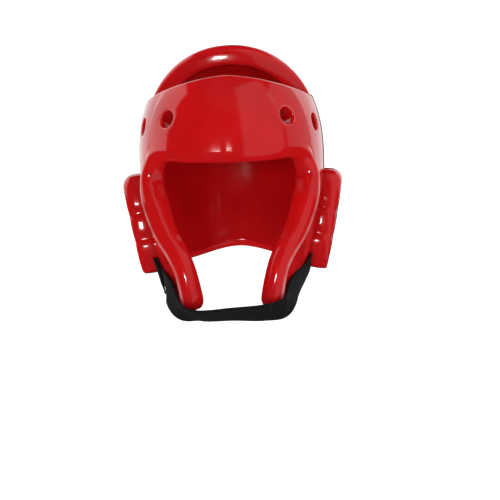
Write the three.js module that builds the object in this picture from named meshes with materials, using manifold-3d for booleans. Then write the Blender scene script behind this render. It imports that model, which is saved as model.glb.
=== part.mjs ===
// Taekwondo headgear of dipped foam: a front guard with brow and cheeks, a crown guard over the top and back
// of the head, two ear pads, and a black webbing chin strap with a hook-and-loop tab.
// Millimetres, +Z up, the face looks along -Y and the wearer's left is +X.
// The origin is where the top of a head touches the inside of the crown, so most heights are negative.
import * as THREE from "three";
import { mergeVertices } from "three/addons/utils/BufferGeometryUtils.js";
import Module from "manifold-3d";

const wasm = await Module();
wasm.setup();

// Head cavity at its widest level: half width, reach to the front and to the back, and the height above it
const headHalfWidth = 74.5;
const headFront = 98;
const headBack = 98;
const crownHeight = 90;
// How square the horizontal sections and the crown are: 2 is an ellipse
const sectionSquareness = 2.4;
const crownSquareness = 2.2;
// Depth under the widest level at which the side, front and back walls would close to nothing
const sideTaperDepth = 219;
const frontTaperDepth = 556;
const backTaperDepth = 194;

// Foam thickness at the sides, the brow and the top, and how far the front guard stands over the crown guard
const sideFoam = 13.5;
const browFoam = 17;
const topFoam = 19.5;
const frontProud = 1.5;
// Less foam at the hem under the strap: how much, and the downward leans, from 0 to 1, over which it sets in
const hemThinning = 3.5;
const thinningStartLean = 0.3;
const thinningFullLean = 0.75;
// The cheek bumper: extra foam beside the face opening, and the run of the step behind its rim
const rimWidth = 15.5;
const rimRise = 7.5;
const rimStepRun = 7;
// Edge radii, inside and outside
const faceEdgeInner = 4.5;
const faceEdgeOuter = 10.5;
const rearEdgeRadius = 2.2;
const crownRimInner = 3;
const crownRimOuter = 9.5;
const napeEdgeRadius = 4.5;
const tipRound = 7;

// Face opening: half width at the eyes, and depths under the top of the head of its upper edge and its ends
const faceHalfWidth = 61;
const browEdgeDrop = 99.5;
const tipDrop = 219;
// Crown opening: depth of the brow's top edge at the middle, and the corner where the crown guard meets it
const browTopDrop = 29;
const cornerDrop = 40;
const cornerAzimuth = 90;
// Seam behind the ear pads, from that corner down to the hem, and the middle of the nape
const seamEndAzimuth = 131;
const seamEndDrop = 186;
const seamBow = 2.2;
// Degrees that the crown guard is made past the seam, before the front guard cuts it
const seamOverlap = 5;
const napeDrop = 172;
// Front edge of the crown guard at the middle, ahead of the top of the head
const crownRimAhead = 15;

// Vents through the brow: radius, azimuth from the front, and depth under the top as a share of crownHeight
const ventRadius = 8;
const vents = [
  { azimuth: 29.8, drop: 0.676 },
  { azimuth: 54.8, drop: 0.71 },
];

// Ear pads: how far they stand over the shell's widest level, and how deep their roots start behind it
const padProud = 10;
const padRoot = 19;
// Middle of the outer face, size, lean, edge radii, and the two channels across each pad
const earPad = {
  halfDepth: 35,
  halfHeight: 48,
  centreAcross: headHalfWidth + sideFoam + padProud,
  centreBack: 4,
  centreDrop: 153.5,
  leanDegrees: 11.3,
  squareness: 4.6,
  topEdge: 9,
  lowEdge: 2,
  dome: 1.6,
  channelDepth: 1.4,
  channelFaceDepth: 0.4,
  channelHalfWidth: 4.5,
  channelHeights: [10, -15],
  rootDepth: 2 * sideFoam + padRoot,
};
// Sound holes through each pad and the wall behind it, in a row across the middle lobe
const soundHole = { radius: 4, spacing: 16, height: -2.5, count: 3 };

// Chin strap and its tab
const strapWidth = 25;
const strapThickness = 2;
const tabWidth = 26;
const tabThickness = 1.6;
const clearance = 0.5;
const seamGap = 0.7;

// Stations of the front guard, from the middle of the brow round the face opening to the tip of a cheek.
// across: share of faceHalfWidth. down: share of the way from browEdgeDrop to tipDrop.
// azimuth and rear: the rear edge, as degrees from the front and a share of the span its stretch runs over.
// seam: share of the seam, where the rear edge is the seam. rise: share of rimRise.
// rim: distance from the face edge to the bumper's rim, as a share of rimWidth.
const stations = [
  { across: 0, down: 0, azimuth: 0, rear: 0, rim: 0.645, rise: 0 },
  { across: 0.33, down: -0.004, azimuth: 14, rear: 0.19, rim: 0.645, rise: 0 },
  { across: 0.62, down: -0.016, azimuth: 28, rear: 0.52, rim: 0.645, rise: 0 },
  { across: 0.84, down: -0.033, azimuth: 44, rear: 0.84, rim: 0.645, rise: 0 },
  { across: 0.945, down: -0.015, azimuth: 60, rear: 1.02, rim: 0.645, rise: 0.1 },
  { across: 0.99, down: 0.04, azimuth: 76, rear: 1.03, rim: 0.645, rise: 0.3 },
  { across: 1, down: 0.1, seam: 0, rim: 0.645, rise: 0.6 },
  { across: 0.975, down: 0.165, seam: 0.18, rim: 0.71, rise: 0.85 },
  { across: 0.93, down: 0.255, seam: 0.4, rim: 0.775, rise: 1 },
  { across: 0.875, down: 0.365, seam: 0.66, rim: 0.84, rise: 1 },
  { across: 0.78, down: 0.505, seam: 1, rim: 0.9, rise: 1 },
  { across: 0.66, down: 0.62, azimuth: 108, rear: 0.3, rim: 0.97, rise: 1 },
  { across: 0.575, down: 0.72, azimuth: 84, rear: 0.5, rim: 1, rise: 1 },
  { across: 0.515, down: 0.81, azimuth: 64, rear: 0.7, rim: 1, rise: 0.95 },
  { across: 0.46, down: 0.92, azimuth: 48, rear: 0.9, rim: 0.9, rise: 0.75 },
  { across: 0.415, down: 1.026, azimuth: 38, rear: 1.02, rim: 0.775, rise: 0.5 },
];
const cornerStation = stations.findIndex((row) => row.seam === 0);
const seamEndStation = stations.findIndex((row) => row.seam === 1);
const jawEndDrop = 226;

const centre = new THREE.Vector3(0, 0, -crownHeight);
const radians = THREE.MathUtils.degToRad;

// Head cavity surface

// Half width and reach to the front and back of the horizontal section at height z.
function sectionSizes(z) {
  const below = Math.max(0, -z - crownHeight);
  const above = Math.max(0, z + crownHeight) / crownHeight;
  const crown = Math.max(0, 1 - above ** crownSquareness) ** (1 / crownSquareness);
  const taper = (depth) => 1 - (below / depth) ** crownSquareness;
  return {
    side: headHalfWidth * crown * taper(sideTaperDepth),
    front: headFront * crown * taper(frontTaperDepth),
    back: headBack * crown * taper(backTaperDepth),
  };
}

// 1 on the cavity's surface, less inside it and more outside.
function level(point) {
  const below = Math.min(point.z, -crownHeight);
  const sizes = sectionSizes(below);
  const reach = point.y < 0 ? sizes.front : sizes.back;
  const flat =
    Math.abs(point.x / sizes.side) ** sectionSquareness + Math.abs(point.y / reach) ** sectionSquareness;
  const above = Math.max(0, point.z + crownHeight) / crownHeight;
  return flat ** (crownSquareness / sectionSquareness) + above ** crownSquareness;
}

// The surface point at an azimuth, in degrees from the front towards +X, and a height.
function pointAtHeight(azimuth, z) {
  const sizes = sectionSizes(z);
  const across = Math.sin(radians(azimuth));
  const back = -Math.cos(radians(azimuth));
  const reach = back < 0 ? sizes.front : sizes.back;
  const flat =
    Math.abs(across / sizes.side) ** sectionSquareness + Math.abs(back / reach) ** sectionSquareness;
  const radius = flat ** (-1 / sectionSquareness);
  return new THREE.Vector3(across * radius, back * radius, z);
}

// The surface point on the front half at a distance across and a height.
function pointOnFront(across, z) {
  const sizes = sectionSizes(z);
  const share = Math.min(1, Math.abs(across / sizes.side));
  const y = -sizes.front * (1 - share ** sectionSquareness) ** (1 / sectionSquareness);
  return new THREE.Vector3(across, y, z);
}

// The surface point seen from the cavity's centre along a direction, found by halving.
function pointAlong(direction) {
  const unit = direction.clone().normalize();
  let near = 0;
  let far = 4 * crownHeight;
  for (let i = 0; i < 40; i++) {
    const middle = (near + far) / 2;
    const inside = level(centre.clone().addScaledVector(unit, middle)) < 1;
    if (inside) near = middle;
    else far = middle;
  }
  return centre.clone().addScaledVector(unit, near);
}

// The outward unit normal of the cavity's surface at a point.
function normalAt(point) {
  const step = 0.05;
  const slope = (axis) => {
    const shift = new THREE.Vector3().setComponent(axis, step);
    return level(point.clone().add(shift)) - level(point.clone().sub(shift));
  };
  return new THREE.Vector3(slope(0), slope(1), slope(2)).normalize();
}

// Foam thickness by direction: thicker to the front and to the top.
function foamThickness(direction) {
  const up = Math.max(0, direction.z) ** 2;
  const ahead = Math.max(0, -direction.y) ** 2;
  return sideFoam + (topFoam - sideFoam) * up + (browFoam - sideFoam) * ahead;
}

// Foam thickness of the front guard behind its bumper, thinner towards the hem.
function panelThickness(direction) {
  const low = THREE.MathUtils.smoothstep(-direction.z, thinningStartLean, thinningFullLean);
  return foamThickness(direction) + frontProud - hemThinning * low;
}

// Tables and lines on the surface

// A value of the station table at position t, where a negative t is the wearer's right side.
function stationValue(pick, t, odd) {
  const place = Math.abs(t);
  const low = Math.min(stations.length - 2, Math.floor(place));
  const at = (i) => {
    if (i < 0) return (odd ? -1 : 1) * pick(stations[-i], -i);
    if (i < stations.length) return pick(stations[i], i);
    return 2 * pick(stations[i - 1], i - 1) - pick(stations[i - 2], i - 2);
  };
  const s = place - low;
  const [a, b, c, d] = [at(low - 1), at(low), at(low + 1), at(low + 2)];
  const bend = 2 * a - 5 * b + 4 * c - d + (3 * b - a - 3 * c + d) * s;
  const value = b + 0.5 * s * (c - a + s * bend);
  return odd ? Math.sign(t || 1) * value : value;
}

// Azimuth and drop of the seam at a share of its length.
function seamAt(share) {
  return {
    azimuth: seamEndAzimuth - (seamEndAzimuth - cornerAzimuth) * Math.max(0, 1 - share) ** seamBow,
    drop: cornerDrop + (seamEndDrop - cornerDrop) * share,
  };
}

// Azimuth and drop of a station row's rear end.
function rearEnd(row, index) {
  if (row.seam !== undefined) return seamAt(row.seam);
  const [from, to] = index < cornerStation ? [browTopDrop, cornerDrop] : [seamEndDrop, jawEndDrop];
  return { azimuth: row.azimuth, drop: from + (to - from) * row.rear };
}

// The line on the cavity's surface that station t's section follows, from the face edge to the rear edge.
function stationLine(t) {
  const across = faceHalfWidth * stationValue((row) => row.across, t, true);
  const down = stationValue((row) => row.down, t, false);
  const front = pointOnFront(across, -(browEdgeDrop + (tipDrop - browEdgeDrop) * down));
  const place = Math.abs(t);
  let rear;
  if (place > cornerStation && place < seamEndStation) {
    const end = seamAt(stationValue((row) => row.seam ?? (row.azimuth > 90 ? 1.3 : -0.2), place, false));
    rear = { azimuth: Math.sign(t) * end.azimuth, drop: end.drop };
  } else {
    rear = {
      azimuth: stationValue((row, i) => rearEnd(row, i).azimuth, t, true),
      drop: stationValue((row, i) => rearEnd(row, i).drop, t, false),
    };
  }
  return surfaceLine((s) => {
    const start = front.clone().sub(centre).normalize();
    const end = pointAtHeight(rear.azimuth, -rear.drop).sub(centre).normalize();
    return start.lerp(end, s);
  });
}

// A line given by directions for shares 0 to 1. at(distance) gives its point, normal and direction.
function surfaceLine(directionAt) {
  const steps = 40;
  const lengths = [0];
  let last = pointAlong(directionAt(0));
  for (let i = 1; i <= steps; i++) {
    const next = pointAlong(directionAt(i / steps));
    lengths.push(lengths[i - 1] + next.distanceTo(last));
    last = next;
  }
  const shareAt = (distance) => {
    let i = 1;
    while (i < steps && lengths[i] < distance) i++;
    return (i - 1 + (distance - lengths[i - 1]) / (lengths[i] - lengths[i - 1])) / steps;
  };
  const at = (distance) => {
    const direction = directionAt(shareAt(distance)).normalize();
    const point = pointAlong(direction);
    return { point, normal: normalAt(point), direction };
  };
  return { length: lengths[steps], at };
}

// Closed section of a wall along a line. outer(distance, direction) is the thickness; start and end hold the
// inner and outer edge radii; knots are the distances where the outer side needs a point.
function wallSection(line, outer, start, end, knots, shrink = 0, grow = 0) {
  const points = [];
  const last = line.length + grow;
  const put = (distance, offset) => {
    const { point, normal } = line.at(distance);
    points.push(point.addScaledVector(normal, offset));
  };
  const depthAt = (distance) => outer(distance, line.at(distance).direction) + grow;
  const arcSteps = 3;
  // Outer corner at the start, then the outer side
  for (let i = 0; i <= arcSteps; i++) {
    const turn = (Math.PI / 2) * (i / arcSteps);
    put(start.outer * (1 - Math.sin(turn)), depthAt(start.outer) - start.outer * (1 - Math.cos(turn)));
  }
  points.reverse();
  for (const knot of knots) put(knot, depthAt(knot));
  // Outer and inner corners at the end
  for (let i = 0; i <= 2; i++) {
    const turn = (Math.PI / 2) * (i / 2);
    const edgeDrop = end.outer * (1 - Math.cos(turn));
    put(last - end.outer * (1 - Math.sin(turn)), depthAt(last - end.outer) - edgeDrop);
  }
  for (let i = 0; i <= 1; i++) {
    const turn = (Math.PI / 2) * i;
    put(last - end.inner * (1 - Math.cos(turn)), end.inner * (1 - Math.sin(turn)) - shrink);
  }
  // Inner side back to the start and its inner corner
  const innerSteps = 8;
  for (let i = 1; i < innerSteps; i++) {
    const span = last - end.inner - start.inner;
    put(last - end.inner - (span * i) / innerSteps, -shrink);
  }
  for (let i = 0; i <= 1; i++) {
    const turn = (Math.PI / 2) * i;
    put(start.inner * (1 - Math.sin(turn)), start.inner * (1 - Math.cos(turn)) - shrink);
  }
  return points;
}

// Meshes and solids

// A closed body through loops of points with the same count, with a fan over each end.
function loft(loops) {
  const count = loops[0].length;
  const positions = loops.flat().flatMap((p) => p.toArray());
  const middle = (loop) =>
    loop.reduce((sum, p) => sum.add(p), new THREE.Vector3()).divideScalar(loop.length);
  positions.push(...middle(loops[0]).toArray(), ...middle(loops.at(-1)).toArray());
  const firstCentre = loops.length * count;
  const lastStart = (loops.length - 1) * count;
  const index = [];
  for (let i = 0; i < count; i++) {
    const next = (i + 1) % count;
    for (let j = 0; j + 1 < loops.length; j++) {
      const [a, b] = [j * count + i, j * count + next];
      index.push(a, b, b + count, a, b + count, a + count);
    }
    index.push(firstCentre, next, i);
    index.push(firstCentre + 1, lastStart + i, lastStart + next);
  }
  return closedGeometry(positions, index);
}

// A geometry of those triangles, turned to face out.
function closedGeometry(positions, index) {
  const corner = (k) => new THREE.Vector3().fromArray(positions, 3 * index[k]);
  let volume = 0;
  for (let k = 0; k < index.length; k += 3) {
    volume += corner(k).dot(corner(k + 1).cross(corner(k + 2)));
  }
  if (volume < 0) index.reverse();
  const geometry = new THREE.BufferGeometry();
  geometry.setAttribute("position", new THREE.Float32BufferAttribute(positions, 3));
  geometry.setIndex(index);
  return geometry;
}

// A geometry as a solid for cutting, and back.
function solidOf(geometry) {
  const bare = new THREE.BufferGeometry();
  bare.setAttribute("position", geometry.getAttribute("position").clone());
  bare.setIndex(geometry.index ? geometry.index.clone() : null);
  const merged = mergeVertices(bare, 1e-4);
  return new wasm.Manifold(
    new wasm.Mesh({
      numProp: 3,
      vertProperties: Float32Array.from(merged.attributes.position.array),
      triVerts: Uint32Array.from(merged.index.array),
    }),
  );
}

function geometryOf(solid) {
  const mesh = solid.getMesh();
  const geometry = new THREE.BufferGeometry();
  geometry.setAttribute("position", new THREE.Float32BufferAttribute(mesh.vertProperties, 3));
  geometry.setIndex(Array.from(mesh.triVerts));
  geometry.computeVertexNormals();
  return geometry;
}

// The largest body of a solid that a cut has split.
function largest(solid) {
  return solid.decompose().reduce((best, body) => (body.volume() > best.volume() ? body : best));
}

// A round cutter through a point along an axis.
function drill(point, axis, radius, length) {
  const sides = 20;
  const geometry = new THREE.CylinderGeometry(radius, radius, length, sides);
  const turn = new THREE.Quaternion().setFromUnitVectors(new THREE.Vector3(0, 1, 0), axis);
  geometry.applyQuaternion(turn).translate(...point.toArray());
  return solidOf(geometry);
}

// Front guard

// Foam thickness of the front guard at a distance from the face edge of station t.
function frontThickness(t) {
  const rim = rimWidth * stationValue((row) => row.rim, t, false);
  const rise = rimRise * stationValue((row) => row.rise, t, false);
  return (distance, direction) => {
    const step = THREE.MathUtils.smoothstep(distance, rim, rim + rimStepRun);
    const bumper = foamThickness(direction) + frontProud + rise;
    return THREE.MathUtils.lerp(bumper, panelThickness(direction), step);
  };
}

// The front guard's sections as a body. shrink and grow move its inner and outer faces, for a cutter.
function frontGuard(shrink = 0, grow = 0) {
  const perStation = 2;
  const last = stations.length - 1;
  const loops = [];
  for (let k = -last * perStation; k <= last * perStation; k++) {
    const t = k / perStation;
    const line = stationLine(t);
    const rim = rimWidth * stationValue((row) => row.rim, t, false);
    const rimEnd = Math.min(rim + rimStepRun, line.length - 2 * rearEdgeRadius);
    const knots = [rim - 1, rim + 0.35 * rimStepRun, rim + 0.7 * rimStepRun, rimEnd];
    const panelSteps = 6;
    for (let i = 1; i < panelSteps; i++) {
      knots.push(rimEnd + ((line.length - rearEdgeRadius - rimEnd) * i) / panelSteps);
    }
    const face = { inner: faceEdgeInner, outer: faceEdgeOuter };
    const rear = { inner: rearEdgeRadius, outer: rearEdgeRadius };
    loops.push(wallSection(line, frontThickness(t), face, rear, knots, shrink, grow));
  }
  return loft([...tipEnd(loops[0], loops[1]).reverse(), ...loops, ...tipEnd(loops.at(-1), loops.at(-2))]);
}

// Loops that round off the end of a cheek after its last section.
function tipEnd(loop, before) {
  const middle = (points) =>
    points.reduce((sum, p) => sum.add(p), new THREE.Vector3()).divideScalar(points.length);
  const end = middle(loop);
  const ahead = end.clone().sub(middle(before)).normalize();
  const turns = [30, 60, 90];
  return turns.map((degrees) => {
    const turn = radians(degrees);
    const inset = tipRound * (1 - Math.cos(turn));
    const centreHere = end.clone().addScaledVector(ahead, tipRound * Math.sin(turn));
    return loop.map((p) => {
      const aside = p.clone().sub(end);
      return aside.setLength(aside.length() - inset).add(centreHere);
    });
  });
}

// Crown guard

function crownGuard() {
  const across = 20;
  const loops = [];
  for (let k = -across; k <= across; k++) {
    const u = k / across;
    const line = surfaceLine((v) => crownDirection(u, v));
    const knots = [];
    const steps = 13;
    for (let i = 1; i < steps; i++) {
      knots.push(crownRimOuter + ((line.length - napeEdgeRadius - crownRimOuter) * i) / steps);
    }
    const rim = { inner: crownRimInner, outer: crownRimOuter };
    const nape = { inner: napeEdgeRadius, outer: napeEdgeRadius };
    loops.push(wallSection(line, (distance, direction) => foamThickness(direction), rim, nape, knots));
  }
  return loft(loops);
}

// Direction from the centre to the crown guard's point at u from -1 to 1 across and v from rim to nape.
function crownDirection(u, v) {
  const end = seamAt(v);
  const seam = pointAtHeight(end.azimuth - seamOverlap, -end.drop).sub(centre).normalize();
  const nape = pointAtHeight(180, -napeDrop).sub(centre).normalize();
  const rim = new THREE.Vector3(0, -crownRimAhead, crownHeight).normalize();
  const rimTurn = Math.atan2(rim.z, -rim.y);
  const napeTurn = Math.atan2(nape.z, -nape.y) + 2 * Math.PI;
  const turn = rimTurn + (napeTurn - rimTurn) * v;
  const middle = new THREE.Vector3(0, -Math.cos(turn), Math.sin(turn));
  const share = u * u;
  return new THREE.Vector3(
    u * seam.x,
    (1 - share) * middle.y + share * seam.y,
    (1 - share) * middle.z + share * seam.z,
  );
}

// Ear pads

// Turns a pad's own place (back, up, out of its outer face) into the frame, on the wearer's left.
function padPlace(back, up, out) {
  const lean = radians(earPad.leanDegrees);
  return new THREE.Vector3(
    earPad.centreAcross + up * Math.sin(lean) + out * Math.cos(lean),
    earPad.centreBack + back,
    -earPad.centreDrop + up * Math.cos(lean) - out * Math.sin(lean),
  );
}

// How deep the channels cut at a height on the pad, from 0 to 1.
function channelAt(up) {
  const fall = (height) => Math.exp(-(((up - height) / earPad.channelHalfWidth) ** 2));
  return earPad.channelHeights.reduce((sum, height) => sum + fall(height), 0);
}

function earPadBody() {
  const sides = 40;
  const roundSteps = [90, 60, 35, 12, 0];
  const ring = (inset, drop) => {
    const loop = [];
    for (let i = 0; i < sides; i++) {
      const turn = (2 * Math.PI * i) / sides;
      const [c, s] = [Math.cos(turn), Math.sin(turn)];
      const radius =
        (Math.abs(c / earPad.halfDepth) ** earPad.squareness +
          Math.abs(s / earPad.halfHeight) ** earPad.squareness) **
        (-1 / earPad.squareness);
      const up = radius * s;
      const height = (up + earPad.halfHeight) / (2 * earPad.halfHeight);
      const edge = THREE.MathUtils.lerp(earPad.lowEdge, earPad.topEdge, height);
      const groove = channelAt(up);
      const sideShare = Math.min(1, Math.abs(3 * c));
      const back = radius * c - Math.sign(c) * groove * earPad.channelDepth * sideShare;
      const keep = 1 - (edge * inset) / radius;
      const out = -edge * drop - groove * earPad.channelFaceDepth * inset;
      loop.push(padPlace(back * keep, up * keep, out));
    }
    return loop;
  };
  const loops = roundSteps.map((degrees) => {
    const turn = radians(degrees);
    return ring(1 - Math.cos(turn), 1 - Math.sin(turn));
  });
  const face = loops[0].map((p) => p.clone());
  const inward = padPlace(0, 0, -1).sub(padPlace(0, 0, 0));
  const inner = [0.66, 0.33].map((share) => face.map((p) => faceRow(p, share)));
  const root = loops.at(-1).map((p) => p.clone().addScaledVector(inward, earPad.rootDepth));
  return loft([...inner.reverse(), ...loops, root]);
}

// A point of the pad's outer face, at a share of the way out from its middle, on a low dome with channels.
function faceRow(edgePoint, share) {
  const lean = radians(earPad.leanDegrees);
  const fromCentre = edgePoint.clone().sub(padPlace(0, 0, 0));
  const up = share * (fromCentre.x * Math.sin(lean) + fromCentre.z * Math.cos(lean));
  const back = share * fromCentre.y;
  const rise = earPad.dome * (1 - share * share) - channelAt(up) * earPad.channelFaceDepth;
  return padPlace(back, up, rise);
}

// Drills for the sound holes on the wearer's left.
function soundDrills() {
  const axis = padPlace(0, 0, 1).sub(padPlace(0, 0, 0));
  const holes = [];
  for (let i = 0; i < soundHole.count; i++) {
    const back = soundHole.spacing * (i - (soundHole.count - 1) / 2);
    const point = padPlace(back, soundHole.height, -earPad.rootDepth / 2);
    holes.push(drill(point, axis, soundHole.radius, 3 * earPad.rootDepth));
  }
  return holes;
}

// Chin strap

// Stops of the strap from under the wearer's right ear pad, round the cheek tips, to the left one.
// On the side panels: azimuth and drop, with the strap lying on the foam. Free of them: shares of the
// shell's half width and front reach at the cheek tips, and of tipDrop, and the way the outer face looks.
const strapStops = [
  { azimuth: -80, drop: 0.84 },
  { azimuth: -70, drop: 0.875 },
  { azimuth: -61, drop: 0.908 },
  { azimuth: -54, drop: 0.942 },
  { across: -0.958, forward: 0.605, down: 1.0, face: [-0.87, -0.38, -0.32] },
  { across: -0.84, forward: 0.73, down: 1.066, face: [-0.62, -0.42, -0.66] },
  { across: -0.5, forward: 0.85, down: 1.096, face: [-0.05, -0.4, -0.92] },
  { across: 0, forward: 0.865, down: 1.094, face: [0, -0.48, -0.88] },
  { across: 0.49, forward: 0.86, down: 1.09, face: [0.05, -0.62, -0.78] },
  { across: 0.825, forward: 0.77, down: 1.07, face: [0.62, -0.42, -0.66] },
  { across: 0.93, forward: 0.605, down: 1.005, face: [0.87, -0.38, -0.32] },
  { azimuth: 54, drop: 0.942 },
  { azimuth: 61, drop: 0.908 },
  { azimuth: 70, drop: 0.875 },
  { azimuth: 80, drop: 0.84 },
];

// Place and outward face of a strap stop, at a height over the foam.
function stopPlace(stop, lift) {
  if (stop.face) {
    const face = new THREE.Vector3(...stop.face).normalize();
    const cavity = sectionSizes(-tipDrop);
    const place = new THREE.Vector3(
      stop.across * (cavity.side + sideFoam),
      -stop.forward * (cavity.front + browFoam),
      -stop.down * tipDrop,
    );
    return { place: place.addScaledVector(face, lift), face };
  }
  const point = pointAtHeight(stop.azimuth, -stop.drop * tipDrop);
  const face = normalAt(point);
  const direction = point.clone().sub(centre).normalize();
  const out = panelThickness(direction) + clearance + strapThickness / 2 + lift;
  return { place: point.addScaledVector(face, out), face };
}

// A flat band along the strap. A span has its first and last shares of the way and its lift over the strap.
function band(width, thickness, { steps, lift, firstShare, lastShare }) {
  const placed = strapStops.map((stop) => stopPlace(stop, lift));
  const path = new THREE.CatmullRomCurve3(placed.map((stop) => stop.place), false, "centripetal");
  const facing = new THREE.CatmullRomCurve3(placed.map((stop) => stop.face), false, "centripetal");
  const loops = [];
  for (let i = 0; i <= steps; i++) {
    const t = firstShare + ((lastShare - firstShare) * i) / steps;
    const tangent = path.getTangent(t);
    const face = facing.getPoint(t);
    face.addScaledVector(tangent, -face.dot(tangent)).normalize();
    const side = new THREE.Vector3().crossVectors(face, tangent);
    const corners = [
      [-1, -1],
      [1, -1],
      [1, 1],
      [-1, 1],
    ];
    loops.push(
      corners.map(([w, n]) =>
        path
          .getPoint(t)
          .addScaledVector(side, (w * width) / 2)
          .addScaledVector(face, (n * thickness) / 2),
      ),
    );
  }
  return loft(loops);
}

// Assembly

const red = new THREE.MeshStandardMaterial({ color: "#c0161b", roughness: 0.18, metalness: 0 });
const black = new THREE.MeshStandardMaterial({ color: "#1f1f20", roughness: 0.9, metalness: 0 });
const headgear = new THREE.Group();

function addPiece(name, geometry, material) {
  const mesh = new THREE.Mesh(geometry, material);
  mesh.name = name;
  headgear.add(mesh);
  return mesh;
}

// The guards, cut by the vents and sound holes
const holes = soundDrills();
let frontSolid = solidOf(frontGuard());
for (const side of [-1, 1]) {
  for (const vent of vents) {
    const point = pointAtHeight(side * vent.azimuth, -vent.drop * crownHeight);
    frontSolid = frontSolid.subtract(drill(point, normalAt(point), ventRadius, 3 * browFoam));
  }
  for (const hole of holes) frontSolid = frontSolid.subtract(side > 0 ? hole : hole.mirror([1, 0, 0]));
}
addPiece("front_guard", geometryOf(frontSolid), red);
const frontCutter = solidOf(frontGuard(2 * sideFoam, seamGap));
addPiece("crown_guard", geometryOf(solidOf(crownGuard()).subtract(frontCutter)), red);

// The strap and its tab, and the pockets that they leave in the ear pads
const tabLift = (strapThickness + tabThickness) / 2 + clearance;
const strapSpan = { steps: 60, lift: 0, firstShare: 0, lastShare: 1 };
const tabSpan = { steps: 14, lift: tabLift, firstShare: 0.025, lastShare: 0.235 };
addPiece("chin_strap", band(strapWidth, strapThickness, strapSpan), black);
addPiece("strap_tab", band(tabWidth, tabThickness, tabSpan), black);
const room = 3 * clearance;
const strapPocket = solidOf(band(strapWidth + room, strapThickness + room, strapSpan));
const tabPocket = solidOf(band(tabWidth + room, tabThickness + room, tabSpan));

// The left ear pad outside the shell, and the right one mirrored from it before the pockets are cut
let padSolid = largest(solidOf(earPadBody()).subtract(frontCutter));
for (const hole of holes) padSolid = padSolid.subtract(hole);
addPiece("ear_pad_left", geometryOf(padSolid.subtract(strapPocket)), red);
const rightPad = padSolid.mirror([1, 0, 0]).subtract(strapPocket).subtract(tabPocket);
addPiece("ear_pad_right", geometryOf(rightPad), red);

export default headgear;
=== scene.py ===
"""The looks of a foam martial-arts headgear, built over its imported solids.

The frame is in metres: +Z is up, the face looks along -Y and the wearer's left is +X. The origin is where
the top of a head touches the inside of the crown.
"""

import math
from functools import partial

import bmesh
import bpy
import numpy as np
from bpy.props import FloatProperty, FloatVectorProperty, PointerProperty
from mathutils import Matrix, Vector
from mathutils.bvhtree import BVHTree


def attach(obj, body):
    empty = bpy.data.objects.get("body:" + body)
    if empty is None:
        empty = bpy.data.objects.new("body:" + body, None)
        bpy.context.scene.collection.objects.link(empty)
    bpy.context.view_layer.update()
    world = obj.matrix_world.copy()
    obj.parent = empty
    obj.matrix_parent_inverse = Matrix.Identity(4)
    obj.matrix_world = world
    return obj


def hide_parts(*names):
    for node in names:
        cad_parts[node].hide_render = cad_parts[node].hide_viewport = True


bl_info = {
    "name": "Foam Headgear Looks",
    "version": (1, 0, 0),
    "blender": (4, 5, 0),
    "location": "3D View > Sidebar > Headgear",
    "description": "Builds a dipped-foam headgear with its ear pads, chin strap and studio",
    "category": "Object",
}

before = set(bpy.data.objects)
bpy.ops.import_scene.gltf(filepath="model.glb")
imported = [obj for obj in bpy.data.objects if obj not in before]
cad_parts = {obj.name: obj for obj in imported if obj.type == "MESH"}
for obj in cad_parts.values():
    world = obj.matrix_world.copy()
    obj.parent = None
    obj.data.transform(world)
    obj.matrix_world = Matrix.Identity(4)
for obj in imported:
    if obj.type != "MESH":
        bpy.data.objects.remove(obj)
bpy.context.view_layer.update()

# Stations of the front guard, from the middle of the brow round the face opening to the tip of a cheek.
# across is a share of the face's half width and down of the way from the brow's edge to the tips. The rear
# end is an azimuth in degrees with a share of its stretch's drop, or a share of the seam. rim is a share of
# the bumper's width, and rise of its height.
STATION_COLUMNS = ("across", "down", "azimuth", "rear", "seam", "rim", "rise")
STATIONS = [
    dict(zip(STATION_COLUMNS, row))
    for row in (
        (0.0, 0.0, 0, 0.0, None, 0.645, 0.0),
        (0.33, -0.004, 14, 0.19, None, 0.645, 0.0),
        (0.62, -0.016, 28, 0.52, None, 0.645, 0.0),
        (0.84, -0.033, 44, 0.84, None, 0.645, 0.0),
        (0.945, -0.015, 60, 1.02, None, 0.645, 0.1),
        (0.99, 0.04, 76, 1.03, None, 0.645, 0.3),
        (1.0, 0.1, None, None, 0.0, 0.645, 0.6),
        (0.975, 0.165, None, None, 0.18, 0.71, 0.85),
        (0.93, 0.255, None, None, 0.4, 0.74, 1.0),
        (0.875, 0.365, None, None, 0.66, 0.75, 0.85),
        (0.78, 0.505, None, None, 1.0, 0.74, 0.65),
        (0.66, 0.62, 108, 0.3, None, 0.73, 0.5),
        (0.575, 0.72, 84, 0.5, None, 0.73, 0.4),
        (0.515, 0.81, 64, 0.7, None, 0.76, 0.45),
        (0.46, 0.92, 48, 0.9, None, 0.78, 0.5),
        (0.415, 1.026, 38, 1.02, None, 0.775, 0.5),
    )
]
CORNER_STATION = 6
SEAM_END_STATION = 10

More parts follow.
